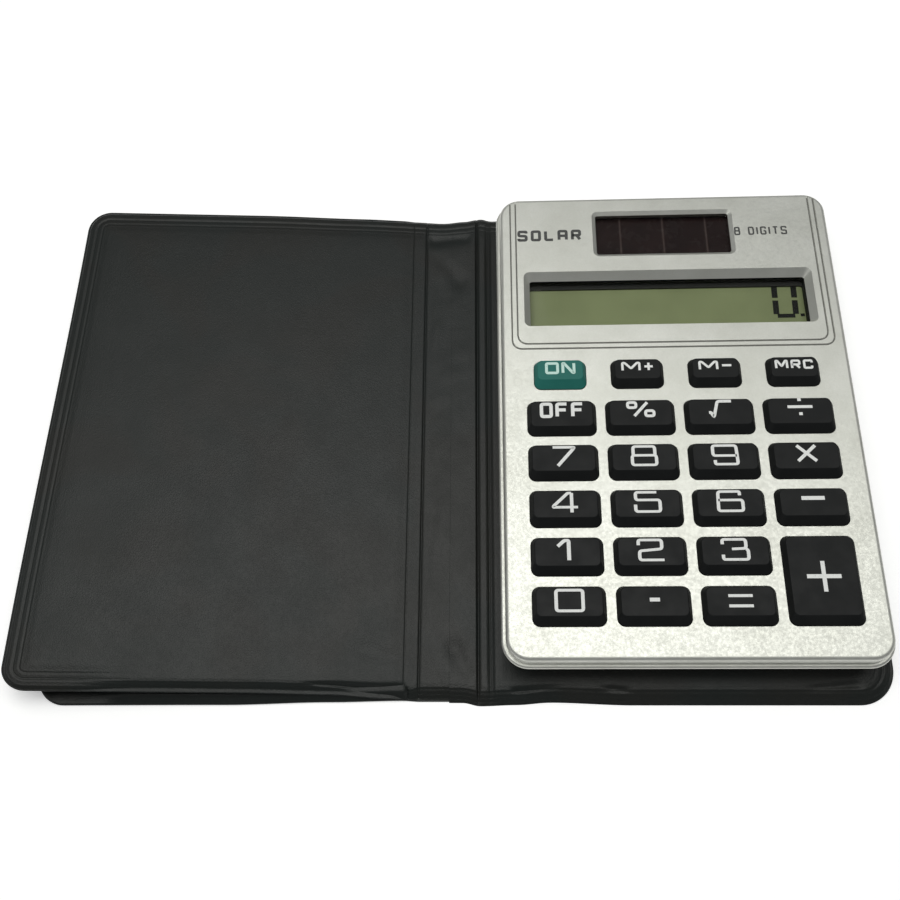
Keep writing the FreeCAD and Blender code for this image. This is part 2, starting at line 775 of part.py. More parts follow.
def make_button_cell():
    """A button cell: a wide can with a narrower cap towards the floor."""
    lower = "(%s + dims.contact_thick)" % FLOOR
    step = "(dims.button_thick / 4)"
    can = cylinder("button_can", "dims.button_radius", "dims.button_thick - " + step,
                   "dims.button_x", "dims.button_y", "%s + %s" % (lower, step))
    cap = cylinder("button_cap", "dims.button_radius - dims.button_step", step,
                   "dims.button_x", "dims.button_y", lower)
    return fuse("button_cell", [can, cap])


def contact_strip(label, y, cell_level, board_level):
    """A sheet-metal strip that steps up or down from the board to the button cell."""
    body = new_body(label, "0", y)
    sketch = new_sketch(body, plane="XZ_Plane")
    near_board = "dims.contact_knee_x"
    near_cell = "dims.contact_knee_x + dims.contact_thick"
    rises = amount(cell_level) > amount(board_level)
    over, under = (near_board, near_cell) if rises else (near_cell, near_board)
    polygon(sketch, [
        ("dims.contact_tip_x", cell_level),
        ("dims.contact_tip_x", cell_level + " + dims.contact_thick"),
        (over, cell_level + " + dims.contact_thick"),
        (over, board_level + " + dims.contact_thick"),
        ("dims.contact_board_x", board_level + " + dims.contact_thick"),
        ("dims.contact_board_x", board_level),
        (under, board_level),
        (under, cell_level),
    ])
    pad(body, sketch, "dims.contact_width", both_ways=True)
    return body


def make_contacts():
    cell_top = "(%s + dims.contact_thick + dims.button_thick)" % FLOOR
    return [
        contact_strip("contact_positive", "dims.contact_positive_y", cell_top, "dims.board_top"),
        contact_strip("contact_negative", "dims.contact_negative_y", FLOOR,
                      "(dims.board_bottom - dims.contact_thick)"),
    ]


def screws(label, centres, head_radius, head_thick, seat, length):
    """Pan-head screws driven upwards: heads below the seat, shanks above it."""
    pieces = []
    for number, (x, y) in enumerate(centres, start=1):
        name = "%s_%d" % (label, number)
        head = cylinder(name + "_head", head_radius, head_thick, x, y,
                        "%s - %s" % (seat, head_thick))
        shank = cylinder(name + "_shank", "dims.shank_radius", length, x, y, seat)
        pieces.append(fuse(name, [head, shank]))
    return group(label, pieces)


def make_screws():
    return [
        screws("board_screws", BOARD_POSTS, "dims.board_head_radius", "dims.board_head_thick",
               "dims.board_bottom",
               "dims.board_top - dims.board_bottom + dims.pilot_depth - dims.film_thick"),
        screws("case_screws", CASE_POSTS, "dims.case_head_radius", "dims.case_head_thick",
               "dims.counterbore_top",
               "dims.case_post_bottom - dims.counterbore_top + dims.pilot_depth"
               " - dims.film_thick"),
    ]


# ---------------------------------------------------------------- wallet


def cover_outline(sketch, reach, side, margin, corner):
    """A cover's outline in its own frame, from just off the fold line at X 0 to its free edge.
    side is 1 where the cover lies towards +X and -1 where it lies towards -X."""
    near = "(dims.fold_gap + %s)" % margin
    far = "(%s - %s)" % (reach, margin)
    square = (0, 3) if side > 0 else (1, 2)
    rounded_rect(sketch, "%s - %s" % (far, near), "dims.wallet_length - 2 * " + margin,
                 corner + " - " + margin, "%d * (%s + %s) / 2" % (side, near, far), "0", square)
    return sketch


def make_cover(prefix, reach, side, corner, fold_x, lift):
    """Outer sheet, stiffening card and inner sheet of one cover. The two sheets are welded in a
    flat margin all round, and the inner one is domed over the card."""
    spot = (fold_x, "dims.wallet_middle", "dims.vinyl")
    outer = new_body(prefix + "_outer_vinyl", *spot)
    pad(outer, cover_outline(new_sketch(outer, "-dims.vinyl"), reach, side, "0", corner),
        "dims.vinyl")
    inner = new_body(prefix + "_inner_vinyl", *spot)
    pad(inner, cover_outline(new_sketch(inner), reach, side, "0", corner), "dims.vinyl")
    raised = cover_outline(new_sketch(inner), reach, side, "dims.weld_margin", corner)
    pad(inner, raised, "dims.card + dims.vinyl")
    pouch = cover_outline(new_sketch(inner, "dims.card"), reach, side, "dims.card_margin", corner)
    pocket(inner, pouch, "dims.card")
    stiffener = new_body(prefix + "_card", *spot)
    card_margin = "(dims.card_margin + dims.card_clearance)"
    pad(stiffener, cover_outline(new_sketch(stiffener), reach, side, card_margin, corner),
        "dims.card")
    pieces = [outer, stiffener, inner]
    for piece in pieces:
        piece.setExpression("Placement.Rotation.Angle", lift)
        piece.Placement.Rotation.Axis = FreeCAD.Vector(0, 1, 0)
    return pieces


def make_spine():
    """Two layers of vinyl between the two fold lines, with no card."""
    width = "(dims.spine_width - 2 * dims.fold_gap)"
    cx = "(dims.back_fold_x - dims.spine_width / 2)"
    return [
        box(name, width, "dims.wallet_length", "dims.vinyl", cx, "dims.wallet_middle", level)
        for name, level in (("spine_outer_vinyl", "0"), ("spine_inner_vinyl", "dims.vinyl"))
    ]


def make_wallet():
    back = make_cover("back_cover", "dims.back_reach", 1, "dims.back_corner",
                      "dims.back_fold_x", "0 deg")
    front = make_cover("front_cover", "dims.front_reach", -1, "dims.front_corner",
                       "dims.back_fold_x - dims.spine_width", "dims.cover_lift * 1 deg")
    tape_bottom = "(2 * dims.vinyl + dims.card)"
    strips = [
        box("tape_strip_%d" % number, "dims.tape_width", "dims.tape_length",
            "dims.case_bottom - " + tape_bottom, "0", "dims.tape_offset * %d" % end, tape_bottom)
        for number, end in enumerate((-1, 1), start=1)
    ]
    return back + front + make_spine() + [group("mounting_tape", strips)]


# ---------------------------------------------------------------- build and write


def build():
    layout = key_layout()
    parts = [make_top_case(), make_bottom_case()]
    parts += [make_key(*spot) for spot in layout]
    parts.append(make_dome_sheet(layout))
    parts.append(make_display_lens())
    parts.append(make_display_holder())
    parts += make_display_cell()
    parts.append(make_solar_window())
    parts += make_solar_cell()
    parts.append(make_main_board())
    parts += make_board_components()
    parts.append(make_button_cell())
    parts += make_contacts()
    parts += make_screws()
    parts += make_wallet()
    return parts


def write(parts):
    doc.recompute()
    for item in doc.Objects:
        faults = {"Invalid", "Error"} & set(item.State)
        if faults:
            raise RuntimeError("%s is %s" % (item.Label, ", ".join(sorted(faults))))
    for part in parts:
        if part.Shape.isNull() or not part.Shape.isValid() or not part.Shape.Solids:
            raise RuntimeError("%s has no valid shape" % part.Label)
    os.makedirs("parts", exist_ok=True)
    for part in parts:
        part.Shape.exportStep("parts/%s.step" % part.Label)
        extent = part.Shape.BoundBox
        print("%-24s %2d solid(s) %9.2f mm3  z %.2f to %.2f" % (
            part.Label, len(part.Shape.Solids), part.Shape.Volume, extent.ZMin, extent.ZMax))


write(build())
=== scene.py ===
"""Looks for a pocket calculator in a folding vinyl wallet that lies open on a pale table."""
import json
import math

import bpy
from mathutils import Matrix, Vector, noise


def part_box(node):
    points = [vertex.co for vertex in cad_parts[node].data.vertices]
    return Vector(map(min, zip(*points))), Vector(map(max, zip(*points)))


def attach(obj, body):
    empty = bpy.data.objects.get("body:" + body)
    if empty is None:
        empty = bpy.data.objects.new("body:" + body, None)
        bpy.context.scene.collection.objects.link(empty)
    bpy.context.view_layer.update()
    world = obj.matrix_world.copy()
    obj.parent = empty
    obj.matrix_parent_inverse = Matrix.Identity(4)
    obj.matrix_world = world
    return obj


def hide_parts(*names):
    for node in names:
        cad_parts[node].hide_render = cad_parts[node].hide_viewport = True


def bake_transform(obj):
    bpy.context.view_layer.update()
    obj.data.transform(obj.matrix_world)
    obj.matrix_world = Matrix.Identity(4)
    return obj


MM = 0.001

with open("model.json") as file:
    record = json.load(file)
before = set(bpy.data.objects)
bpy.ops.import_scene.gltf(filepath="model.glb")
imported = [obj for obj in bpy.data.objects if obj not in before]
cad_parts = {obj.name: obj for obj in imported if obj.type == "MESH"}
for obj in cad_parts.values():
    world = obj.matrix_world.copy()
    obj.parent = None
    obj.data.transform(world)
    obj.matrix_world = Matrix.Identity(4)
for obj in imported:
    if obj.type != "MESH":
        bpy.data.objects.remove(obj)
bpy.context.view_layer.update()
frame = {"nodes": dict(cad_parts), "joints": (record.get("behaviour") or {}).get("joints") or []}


# ---------------------------------------------------------------- camera and light

scene = bpy.context.scene
scene.view_settings.view_transform = "Standard"

# The camera's place in millimetres, and the directions of its right side and its back.
CAMERA_PLACE = (-33.14, -79.59, 176.48)
CAMERA_RIGHT = (0.99898, 0.00728, -0.04449)
CAMERA_BACK = (0.04374, -0.39539, 0.91747)

camera = bpy.data.objects.new("camera", bpy.data.cameras.new("camera"))
scene.collection.objects.link(camera)
right = Vector(CAMERA_RIGHT).normalized()
back = Vector(CAMERA_BACK).normalized()
up = back.cross(right).normalized()
right = up.cross(back)
turned = Matrix((right, up, back)).transposed().to_4x4()
camera.matrix_world = Matrix.Translation(Vector(CAMERA_PLACE) * MM) @ turned
camera.data.lens = 40.54
camera.data.sensor_width = 36
camera.data.clip_start = 0.01
scene.camera = camera


def softbox(name, place, target, width, height, power, tint=(1, 1, 1)):
    """A rectangular studio light that faces its target."""
    light = bpy.data.lights.new(name, "AREA")
    light.shape = "RECTANGLE"
    light.size = width
    light.size_y = height
    light.energy = power
    light.color = tint
    lamp = bpy.data.objects.new(name, light)
    scene.collection.objects.link(lamp)
    lamp.location = place
    lamp.rotation_euler = (Vector(target) - Vector(place)).to_track_quat("-Z", "Y").to_euler()


softbox("overhead_light", (-0.08, 0.06, 0.70), (-0.07, 0, 0), 0.95, 0.30, 2.75, (1, 1, 0.965))
softbox("left_light", (-0.13, 0.29, 0.68), (-0.05, 0, 0), 0.34, 0.20, 0.50, (1, 1, 0.97))
softbox("back_light", (0.0, 0.58, 0.75), (0, 0, 0), 0.9, 0.5, 0.30, (0.98, 0.99, 1))

world = bpy.data.worlds.new("studio")
world.use_nodes = True
world.node_tree.nodes["Background"].inputs["Color"].default_value = (0.95, 0.97, 1, 1)
world.node_tree.nodes["Background"].inputs["Strength"].default_value = 0.20
scene.world = world


# ---------------------------------------------------------------- materials


class Finish:
    """A Principled material built from procedural nodes. Lengths in it are millimetres."""

    def __init__(self, name, uv=False):
        self.material = bpy.data.materials.new(name)
        self.material.use_nodes = True
        self.tree = self.material.node_tree
        self.shader = self.tree.nodes["Principled BSDF"]
        self.output = self.tree.nodes["Material Output"]
        coordinates = self.node("ShaderNodeTexCoord")
        source = coordinates.outputs["UV" if uv else "Object"]
        scale = 1 if uv else 1 / MM
        self.place = self.node("ShaderNodeVectorMath", {0: source, 1: (scale,) * 3},
                               operation="MULTIPLY").outputs[0]

    def node(self, kind, inputs=None, **settings):
        """A new node with those inputs, each a value or the socket that feeds it."""
        made = self.tree.nodes.new(kind)
        for key, value in settings.items():
            setattr(made, key, value)
        for key, value in (inputs or {}).items():
            self.put(made.inputs[key], value)
        return made

    def put(self, socket, value):
        if isinstance(value, bpy.types.NodeSocket):
            self.tree.links.new(value, socket)
        else:
            socket.default_value = value

    def set(self, **inputs):
        """Shader inputs, with underscores for the spaces in their names."""
        for key, value in inputs.items():
            self.put(self.shader.inputs[key.replace("_", " ")], value)

    def stretched(self, x, y, z):
        """The place, scaled along each axis."""
        return self.node("ShaderNodeVectorMath", {0: self.place, 1: (x, y, z)},
                         operation="MULTIPLY").outputs[0]

    def noise(self, size, detail=4, rough=0.55, warp=0, where=None):
        """Noise between about 0.25 and 0.75, with features of that size."""
        return self.node(
            "ShaderNodeTexNoise",
            {"Vector": where or self.place, "Scale": 1 / size, "Detail": detail,
             "Roughness": rough, "Distortion": warp}).outputs["Fac"]

    def cells(self, size):
        """Distance from the edges of random cells of that size, as a share of it."""
        return self.node("ShaderNodeTexVoronoi", {"Vector": self.place, "Scale": 1 / size},
                         feature="DISTANCE_TO_EDGE").outputs["Distance"]

    def spread(self, value, low, high, start=0.3, end=0.7):
        """value's range from start to end, stretched smoothly over low to high."""
        return self.node(
            "ShaderNodeMapRange",
            {"Value": value, "From Min": start, "From Max": end, "To Min": low, "To Max": high},
            interpolation_type="SMOOTHSTEP").outputs["Result"]

    def ramp(self, value, stops):
        """Colour by value, from (position, colour) stops."""
        made = self.node("ShaderNodeValToRGB", {"Fac": value})
        elements = made.color_ramp.elements
        while len(elements) < len(stops):
            elements.new(0.5)
        for element, (position, colour) in zip(elements, stops):
            element.position = position
            element.color = (*colour, 1)
        return made.outputs["Color"]

    def mix(self, share, first, second):
        """That share of the second colour in the first."""
        made = self.node("ShaderNodeMix", data_type="RGBA")
        for key, value in (("Factor_Float", share), ("A_Color", first), ("B_Color", second)):
            socket = next(s for s in made.inputs if s.identifier == key)
            if isinstance(value, tuple):
                value = (*value, 1)
            self.put(socket, value)
        return next(s for s in made.outputs if s.identifier == "Result_Color")

    def sum(self, first, second, how="ADD"):
        """The sum of two values, or another operation on them."""
        return self.node("ShaderNodeMath", {0: first, 1: second}, operation=how).outputs[0]

    def weighed(self, patches, fine, share):
        """Two noises added by their shares of one."""
        return self.sum(self.sum(patches, share, "MULTIPLY"), self.sum(fine, 1 - share, "MULTIPLY"))

    def bump(self, *layers):
        """Bump layers, each a height and the depth in millimetres between its 0 and 1."""
        normal = None
        for height, depth in layers:
            inputs = {"Height": height, "Distance": depth * MM, "Strength": 1}
            if normal:
                inputs["Normal"] = normal
            normal = self.node("ShaderNodeBump", inputs).outputs["Normal"]
        self.set(Normal=normal)


def silver_paint():
    """Satin silver paint on moulded plastic: fine flake, faint clouding, a fine orange peel."""
    f = Finish("silver_paint")
    clouds = f.noise(9, 3, 0.6)
    flake = f.noise(0.16, 2, 0.7)
    base = f.ramp(f.weighed(clouds, flake, 0.55),
                  [(0.34, (0.55, 0.555, 0.505)), (0.5, (0.60, 0.607, 0.558)),
                   (0.66, (0.66, 0.665, 0.62))])
    f.set(Base_Color=base, Metallic=f.spread(flake, 0.66, 0.84),
          Roughness=f.spread(f.noise(0.5, 4), 0.36, 0.48))
    f.bump((f.noise(0.9, 3), 0.012), (flake, 0.006))
    return f.material


def key_plastic(name, dark, light, gloss):
    """Moulded plastic with a fine spark-eroded texture, a little worn to a shine."""
    f = Finish(name)
    wear = f.noise(4, 3, 0.6)
    grain = f.noise(0.13, 3, 0.7)
    base = f.ramp(f.weighed(wear, grain, 0.5), [(0.38, dark), (0.62, light)])
    f.set(Base_Color=base, Roughness=f.spread(wear, gloss, gloss + 0.12))
    f.shader.inputs["Specular IOR Level"].default_value = 0.2
    f.bump((grain, 0.012), (f.noise(1.6, 2), 0.01))
    return f.material


def ink_and_painted_shade(name, colour, gaps):
    """Pad-printed ink that covers a little unevenly. The same dark coat also serves as the painted
    shade along the panel's grooves.
    """
    f = Finish(name)
    cover = f.noise(0.35, 4, 0.7)
    f.set(Base_Color=f.ramp(cover, [(0.3, gaps), (0.45, colour)]),
          Roughness=f.spread(cover, 0.45, 0.6))
    f.shader.inputs["Specular IOR Level"].default_value = 0.2
    f.bump((cover, 0.006))
    return f.material


def vinyl():
    """Soft PVC sheet: uneven warm and cool greys, fine pebble grain, satin with rubbed patches."""
    f = Finish("vinyl", uv=True)
    patches = f.noise(16, 4, 0.6, 0.4)
    tint = f.noise(23, 2, 0.5, 0.8)
    warm = f.ramp(patches, [(0.3, (0.0112, 0.0122, 0.0104)), (0.7, (0.0130, 0.0139, 0.0120))])
    cool = f.ramp(patches, [(0.3, (0.0098, 0.0126, 0.0114)), (0.7, (0.0112, 0.0142, 0.0128))])
    base = f.mix(f.spread(tint, 0, 1, 0.42, 0.58), warm, cool)
    pebbles = f.cells(0.42)
    f.set(Base_Color=base, Roughness=f.spread(f.noise(9, 4, 0.65), 0.38, 0.44))
    f.shader.inputs["Specular IOR Level"].default_value = 0.30
    f.bump((f.spread(pebbles, 0, 1, 0, 0.25), 0.014), (f.noise(0.12, 2), 0.004),
           (f.noise(3.4, 3, 0.6), 0.016))
    return f.material


def clear_plastic(name, tint, index):
    """Clear plastic or glass in a thin pane: what is behind shows through, with a surface shine."""
    f = Finish(name)
    pane = f.node("ShaderNodeBsdfTransparent", {
        "Color": f.ramp(f.noise(6, 3), [(0.3, tint), (0.7, tuple(0.97 * c for c in tint))])})
    shine = f.node("ShaderNodeBsdfGlossy", {
        "Color": (1, 1, 1, 1), "Roughness": f.spread(f.noise(3, 4), 0.04, 0.09)})
    fresnel = f.node("ShaderNodeFresnel", {"IOR": index})
    both = f.node("ShaderNodeMixShader", {
        0: fresnel.outputs[0], 1: pane.outputs[0], 2: shine.outputs[0]})
    f.tree.links.new(both.outputs[0], f.output.inputs["Surface"])
    return f.material


def plain_surface(name, dark, light, rough, grain=0.3, depth=0.01):
    """Any other solid finish: two shades in patches, a grain, and uneven roughness."""
    f = Finish(name)
    patches = f.noise(3, 4, 0.6)
    fine = f.noise(grain, 3, 0.7)
    f.set(Base_Color=f.ramp(f.weighed(patches, fine, 0.6), [(0.36, dark), (0.64, light)]),
          Roughness=f.spread(patches, *rough))
    f.bump((fine, depth))
    return f.material


def brushed_metal(name, colour, rough):
    """Bare sheet metal with fine lines along y."""
    f = Finish(name)
    strokes = f.noise(0.12, 3, 0.7, where=f.stretched(1, 0.06, 1))
    f.set(Base_Color=f.ramp(strokes, [(0.3, tuple(0.8 * c for c in colour)), (0.7, colour)]),
          Roughness=f.spread(strokes, rough, rough + 0.15), Metallic=1.0)
    f.bump((strokes, 0.004))
    return f.material


def solar_film():
    """Amorphous silicon behind glass: near-black maroon, cut into sections by fine paler lines."""
    f = Finish("solar_film")
    low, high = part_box("solar_cell")
    middle = (low.x + high.x) / 2 / MM + 0.35
    pitch = (high.x - low.x) / MM / 4.2
    start = middle - 40 * pitch  # a line far to the left, so that every phase is positive
    across = f.node("ShaderNodeSeparateXYZ", {0: f.place}).outputs["X"]
    phase = f.sum(f.sum(across, start, "SUBTRACT"), pitch, "MODULO")
    away = f.sum(phase, f.sum(pitch, phase, "SUBTRACT"), "MINIMUM")
    line = f.spread(away, 1, 0, 0.10, 0.24)
    film = f.ramp(f.noise(5, 3), [(0.3, (0.0135, 0.0065, 0.0070)), (0.7, (0.022, 0.0105, 0.0105))])
    f.set(Base_Color=f.mix(line, film, (0.075, 0.052, 0.05)),
          Roughness=f.spread(f.noise(2, 3), 0.20, 0.30))
    f.shader.inputs["Specular IOR Level"].default_value = 0.2
    f.bump((line, 0.02))
    return f.material


def olive_film(name):
    """The olive ground of the display: the film over the liquid crystal, and the reflector."""
    f = Finish(name)
    grain = f.noise(0.2, 4, 0.7)
    base = f.ramp(f.weighed(f.noise(14, 2), grain, 0.6),
                  [(0.35, (0.255, 0.295, 0.145)), (0.65, (0.30, 0.345, 0.175))])
    f.set(Base_Color=base, Roughness=f.spread(grain, 0.42, 0.55))
    f.shader.inputs["Specular IOR Level"].default_value = 0.3
    f.bump((grain, 0.003))
    return f.material


def table_top():
    """Matt white, lit a little from within like the photograph's cut-out ground."""
    f = Finish("table_top")
    grain = f.noise(2, 4)
    f.set(Base_Color=f.ramp(grain, [(0.3, (0.955, 0.955, 0.955)), (0.7, (0.975, 0.975, 0.975))]),
          Roughness=f.spread(grain, 0.6, 0.75))
    f.shader.inputs["Specular IOR Level"].default_value = 0.2
    f.bump((grain, 0.01))
    f.set(Emission_Color=(1, 1, 1, 1), Emission_Strength=0.36)
    return f.material


MATT_BLACK = ((0.004, 0.005, 0.004), (0.008, 0.009, 0.008))
CARBON_BLACK = ((0.012, 0.012, 0.012), (0.024, 0.024, 0.024))
EPOXY_BLACK = ((0.008, 0.008, 0.008), (0.016, 0.016, 0.016))
SILICONE = ((0.44, 0.45, 0.44), (0.56, 0.57, 0.56))
PHENOLIC = ((0.21, 0.12, 0.045), (0.32, 0.20, 0.085))
CERAMIC = ((0.27, 0.20, 0.12), (0.42, 0.32, 0.21))
PALE_TAPE = ((0.72, 0.71, 0.66), (0.86, 0.85, 0.80))
GREY_CARD = ((0.36, 0.31, 0.24), (0.50, 0.43, 0.34))
KEY_BLACK = ((0.0060, 0.0068, 0.0070), (0.0085, 0.0094, 0.0096))
KEY_GREEN = ((0.018, 0.150, 0.124), (0.026, 0.185, 0.155))
FINISHES = {
    "silver_case": silver_paint(),
    "key_black": key_plastic("black_plastic", *KEY_BLACK, 0.46),
    "key_green": key_plastic("green_plastic", *KEY_GREEN, 0.40),
    "clear_window": clear_plastic("clear_acrylic", (0.94, 0.945, 0.93), 1.14),
    "display_frame": plain_surface("frame_black", *MATT_BLACK, (0.55, 0.7)),
    "display_film": olive_film("olive_film"),
    "display_glass": clear_plastic("display_glass", (0.97, 0.98, 0.95), 1.05),
    "display_foil": olive_film("reflector_foil"),
    "conductive_rubber": plain_surface("carbon_rubber", *CARBON_BLACK, (0.7, 0.85)),
    "dome_rubber": plain_surface("silicone_rubber", *SILICONE, (0.55, 0.7)),
    "solar_panel": solar_film(),
    "board": plain_surface("phenolic_board", *PHENOLIC, (0.45, 0.6), 0.12),
    "chip_epoxy": plain_surface("epoxy_drop", *EPOXY_BLACK, (0.15, 0.25), 1.0, 0.03),
    "component": plain_surface("ceramic_body", *CERAMIC, (0.35, 0.5)),
    "cell_steel": brushed_metal("nickel_steel", (0.72, 0.71, 0.68), 0.2),
    "contact_metal": brushed_metal("spring_steel", (0.66, 0.63, 0.57), 0.26),
    "screw_steel": brushed_metal("zinc_steel", (0.52, 0.53, 0.55), 0.32),
    "foam_tape": plain_surface("adhesive_tape", *PALE_TAPE, (0.7, 0.85), 0.25, 0.03),
    "wallet_vinyl": vinyl(),
    "card_board": plain_surface("grey_board", *GREY_CARD, (0.8, 0.9), 0.2, 0.03),
}
WHITE_INK = ink_and_painted_shade("white_ink", (0.93, 0.94, 0.92), (0.70, 0.72, 0.70))
MINT_INK = ink_and_painted_shade("mint_ink", (0.66, 0.90, 0.82), (0.44, 0.70, 0.62))
GREY_INK = ink_and_painted_shade("grey_ink", (0.080, 0.082, 0.080), (0.16, 0.16, 0.155))
# Painted shade: the dark grey coat laid along the floor of the panel's grooves.
GROOVE_PAINTED_SHADE = ink_and_painted_shade("groove_shade", (0.17, 0.17, 0.155), (0.27, 0.27, 0.25))
CRYSTAL_INK = ink_and_painted_shade("crystal_ink", (0.004, 0.005, 0.004), (0.008, 0.010, 0.007))

for node in frame["nodes"].values():
    for slot in node.material_slots:
        slot.material = FINISHES[slot.material.name.split(".")[0]]


# ---------------------------------------------------------------- lettering

# Each glyph is its pen strokes in a box 1 wide and 1 high. A stroke that ends where it starts is
# closed.
GLYPHS = {
    "0": [[(0, 0), (1, 0), (1, 1), (0, 1), (0, 0)]],
    "1": [[(0, 0.70), (0.62, 1), (1, 1), (1, 0)]],
    "2": [[(0, 0.74), (0, 1), (0.93, 1), (0.93, 0.55), (0.03, 0.45), (0.03, 0), (1, 0)]],
    "3": [[(0, 0.76), (0, 1), (0.93, 1), (0.93, 0.55), (0.36, 0.52)],
          [(0.93, 0.52), (1, 0.45), (1, 0), (0, 0), (0, 0.24)]],
    "4": [[(0.75, 0), (0.75, 1)], [(0.74, 1), (0.60, 1), (0, 0.33), (0, 0.27), (1, 0.27)]],
    "5": [[(0.88, 1), (0.02, 1), (0.02, 0.60), (1, 0.60), (1, 0), (0, 0), (0, 0.36)]],
    "6": [[(0.90, 0.80), (0.90, 1), (0.03, 1), (0, 0), (1, 0), (1, 0.56), (0.02, 0.56)]],
    "7": [[(0, 1), (1, 1), (0.9, 0.85), (0.22, 0)]],
    "8": [[(0, 0), (1, 0), (1, 0.52), (0, 0.52), (0, 0)],
          [(0.05, 0.52), (0.05, 1), (0.95, 1), (0.95, 0.52)]],
    "9": [[(0.07, 0.22), (0.07, 0), (1, 0), (0.97, 1), (0, 1), (0, 0.46), (0.98, 0.46)]],
    ".": [[(0, 0), (1, 0)]],
    "=": [[(0, 0), (1, 0)], [(0, 1), (1, 1)]],
    "+": [[(0, 0.5), (1, 0.5)], [(0.5, 0), (0.5, 1)]],
    "-": [[(0, 0.5), (1, 0.5)]],
    "x": [[(0, 0), (1, 1)], [(0, 1), (1, 0)]],
    "/": [[(0, 0.5), (1, 0.5)], [(0.43, 1), (0.57, 1)], [(0.43, 0), (0.57, 0)]],
    "%": [[(0, 0.62), (0.32, 0.62), (0.32, 1), (0, 1), (0, 0.62)],
          [(0.68, 0), (1, 0), (1, 0.38), (0.68, 0.38), (0.68, 0)], [(0.24, 0), (0.76, 1)]],
    "r": [[(0, 0.30), (0.09, 0.30), (0.2, 0), (0.40, 1), (1, 1)]],
    "A": [[(0, 0), (0, 1), (1, 1), (1, 0)], [(0, 0.45), (1, 0.45)]],
    "C": [[(1, 0.72), (1, 1), (0, 1), (0, 0), (1, 0), (1, 0.28)]],
    "D": [[(0, 0), (0.85, 0), (1, 0.2), (1, 0.8), (0.85, 1), (0, 1), (0, 0)]],
    "F": [[(0, 0), (0, 1), (1, 1)], [(0, 0.52), (0.9, 0.52)]],
    "G": [[(1, 0.75), (1, 1), (0, 1), (0, 0), (1, 0), (1, 0.45), (0.55, 0.45)]],
    "I": [[(0.5, 0), (0.5, 1)]],
    "L": [[(0, 1), (0, 0), (1, 0)]],
    "M": [[(0, 0), (0, 1), (0.14, 1), (0.5, 0.25), (0.86, 1), (1, 1), (1, 0)]],
    "N": [[(0, 0), (0, 1), (0.12, 1), (0.88, 0), (1, 0), (1, 1)]],
    "O": [[(0, 0), (1, 0), (1, 1), (0, 1), (0, 0)]],
    "R": [[(0, 0), (0, 1), (1, 1), (1, 0.48), (0, 0.48)], [(0.55, 0.48), (1, 0)]],
    "S": [[(1, 0.8), (1, 1), (0, 1), (0, 0.52), (1, 0.48), (1, 0), (0, 0), (0, 0.2)]],
    "T": [[(0, 1), (1, 1)], [(0.5, 0), (0.5, 1)]],
    # A nought made of the segments of a display.
    "o": [[(0, 0.05), (0, 0.46)], [(0, 0.54), (0, 0.95)], [(1, 0.05), (1, 0.46)],
          [(1, 0.54), (1, 0.95)], [(0.05, 1), (0.95, 1)], [(0.05, 0), (0.95, 0)]],
}
# Widths of the letters that aren't as wide as the rest.
SHARES = {"I": 0.25, "M": 1.35, ".": 0.3, " ": 0.55, "+": 0.75, "-": 0.8}
STRIP_ABOVE = 0.018 * MM
STRIP_BELOW = 0.03 * MM
STRIP_STEP = 0.002 * MM
ARC_STEPS = 4


def rounded_path(points, closed, radius):
    """The path with each corner cut by a short arc."""
    count = len(points)
    found = []
    for i, here in enumerate(points):
        if not closed and i in (0, count - 1):
            found.append(here)
            continue
        before = points[i - 1] - here
        after = points[(i + 1) % count] - here
        reach = min(radius, before.length * 0.45, after.length * 0.45)
        start = here + before.normalized() * reach
        end = here + after.normalized() * reach
        for step in range(ARC_STEPS + 1):
            t = step / ARC_STEPS
            found.append(start * (1 - t) ** 2 + here * 2 * t * (1 - t) + end * t ** 2)
    return found


def pen_stroke(points, closed, stroke, flat):
    """The left and right edges of a pen stroke; flat is its height where it runs across."""
    count = len(points)
    edges = []
    for i, here in enumerate(points):
        before = points[i - 1] if closed or i else here
        after = points[(i + 1) % count] if closed or i < count - 1 else here
        one = (here - before).normalized() if (here - before).length else None
        two = (after - here).normalized() if (after - here).length else None
        one, two = one or two, two or one
        along = (one + two).normalized()
        normal = Vector((-along.y, along.x))
        spread = max(0.5, normal.dot(Vector((-one.y, one.x))))
        half = (stroke * abs(along.y) + flat * (1 - abs(along.y))) / 2
        edges.append((here + normal * half / spread, here - normal * half / spread))
    return edges


def print_and_painted_shade_strip(name, strokes, height, body, material):
    """One thin raised piece from pen strokes that lie at that height: print, display segments, and
    the painted shade along the panel's grooves. Strokes that may cross differ a little in height, so
    that no two faces lie in the same plane."""
    verts, faces = [], []
    for order, (edges, closed) in enumerate(strokes):
        first = len(verts)
        above = STRIP_ABOVE + STRIP_STEP * (order % 3)
        for left, right_side in edges:
            for level in (height + above, height - STRIP_BELOW):
                verts.append((left.x, left.y, level))
                verts.append((right_side.x, right_side.y, level))
        count = len(edges)
        for i in range(count if closed else count - 1):
            a = first + 4 * i
            b = first + 4 * ((i + 1) % count)
            faces += [(a, a + 1, b + 1, b), (a + 2, b + 2, b + 3, a + 3),
                      (a, b, b + 2, a + 2), (a + 1, a + 3, b + 3, b + 1)]
        if not closed:
            last = first + 4 * (count - 1)
            faces += [(first, first + 2, first + 3, first + 1), (last, last + 1, last + 3, last + 2)]
    mesh = bpy.data.meshes.new(name)
    mesh.from_pydata(verts, [], faces)
    mesh.update()
    piece = bpy.data.objects.new(name, mesh)
    scene.collection.objects.link(piece)
    mesh.materials.append(material)
    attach(piece, body)


